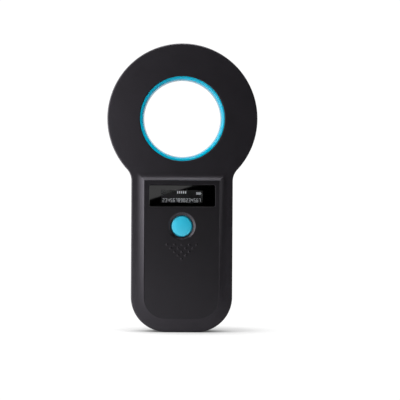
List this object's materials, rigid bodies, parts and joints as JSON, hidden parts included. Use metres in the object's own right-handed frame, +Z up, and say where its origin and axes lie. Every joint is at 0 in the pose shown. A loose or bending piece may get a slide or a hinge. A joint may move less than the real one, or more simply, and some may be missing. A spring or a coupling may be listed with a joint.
{
  "type": "microchip scanner",
  "caption": "Hand-held microchip scanner: a ring-shaped antenna head on a flat handle with a display, a push button and a palm swell.",
  "frame": {"origin": "on the flat bottom end, mid-width, in the plane where the two shells part", "axes": "+Z up the handle to the head, front (display and button) faces -Y, +X to the right seen from the front"},
  "size_m": [0.0814, 0.0329, 0.1564],
  "materials": {
    "black_plastic": "satin, fine spark texture",
    "blue_gloss": "gloss",
    "window_black": "polished",
    "black_tape": "matte",
    "button_blue": "satin",
    "screw_steel": "black oxide",
    "label_foil": "satin film",
    "ivory_plastic": "satin",
    "copper_wire": "enamelled wire",
    "amber_tape": "film tape",
    "wire_red": "wire sheath",
    "board_green": "solder mask",
    "display_glass": "polished",
    "carrier_grey": "matte",
    "flex_amber": "polyimide film",
    "chip_black": "moulded",
    "bright_steel": "plated",
    "cell_foil": "laminated foil",
    "white_foam": "foam tape",
    "board_blue": "solder mask",
    "ferrite_grey": "ferrite",
    "ceramic_tan": "ceramic"
  },
  "bodies": {
    "scanner": {"front_shell": "black_plastic", "rear_shell": "black_plastic", "antenna_ring_liner": "blue_gloss", "display_window": "window_black", "window_tape": "black_tape", "case_screws": "screw_steel", "rear_label": "label_foil", "coil_bobbin": "ivory_plastic", "antenna_coil": "copper_wire", "coil_overwrap": "amber_tape", "coil_leads": "wire_red", "coil_plug": "ivory_plastic", "coil_socket": "ivory_plastic", "main_board": "board_green", "board_screws": "screw_steel", "display_glass": "display_glass", "display_carrier": "carrier_grey", "display_flex": "flex_amber", "switch_base": "chip_black", "switch_dome": "bright_steel", "switch_cover": "bright_steel", "buzzer": "chip_black", "battery_cell": "cell_foil", "battery_tape": "white_foam", "battery_leads": "wire_red", "battery_plug": "ivory_plastic", "battery_socket": "ivory_plastic", "charging_socket": "bright_steel", "controller_chip": "chip_black", "reader_chip": "chip_black", "radio_module": "board_blue", "charger_chip": "chip_black", "crystal": "bright_steel", "power_inductor": "ferrite_grey", "tuning_capacitors": "ceramic_tan", "chip_capacitors": "ceramic_tan"},
    "button": {"button_cap": "button_blue"},
    "plunger": {"switch_plunger": "ivory_plastic"}
  },
  "joints": [
    {"name": "button_press", "type": "slide", "parent": "scanner", "child": "button", "axis": [0, 1, 0], "range_m": [0, 0.00035]},
    {"name": "plunger_press", "type": "slide", "parent": "scanner", "child": "plunger", "axis": [0, 1, 0], "range_m": [0, 0.00035], "deforming": ["switch_dome"]}
  ],
  "couplings": [
    {"joint": "plunger_press", "follows": "button_press", "ratio": 1}
  ]
}
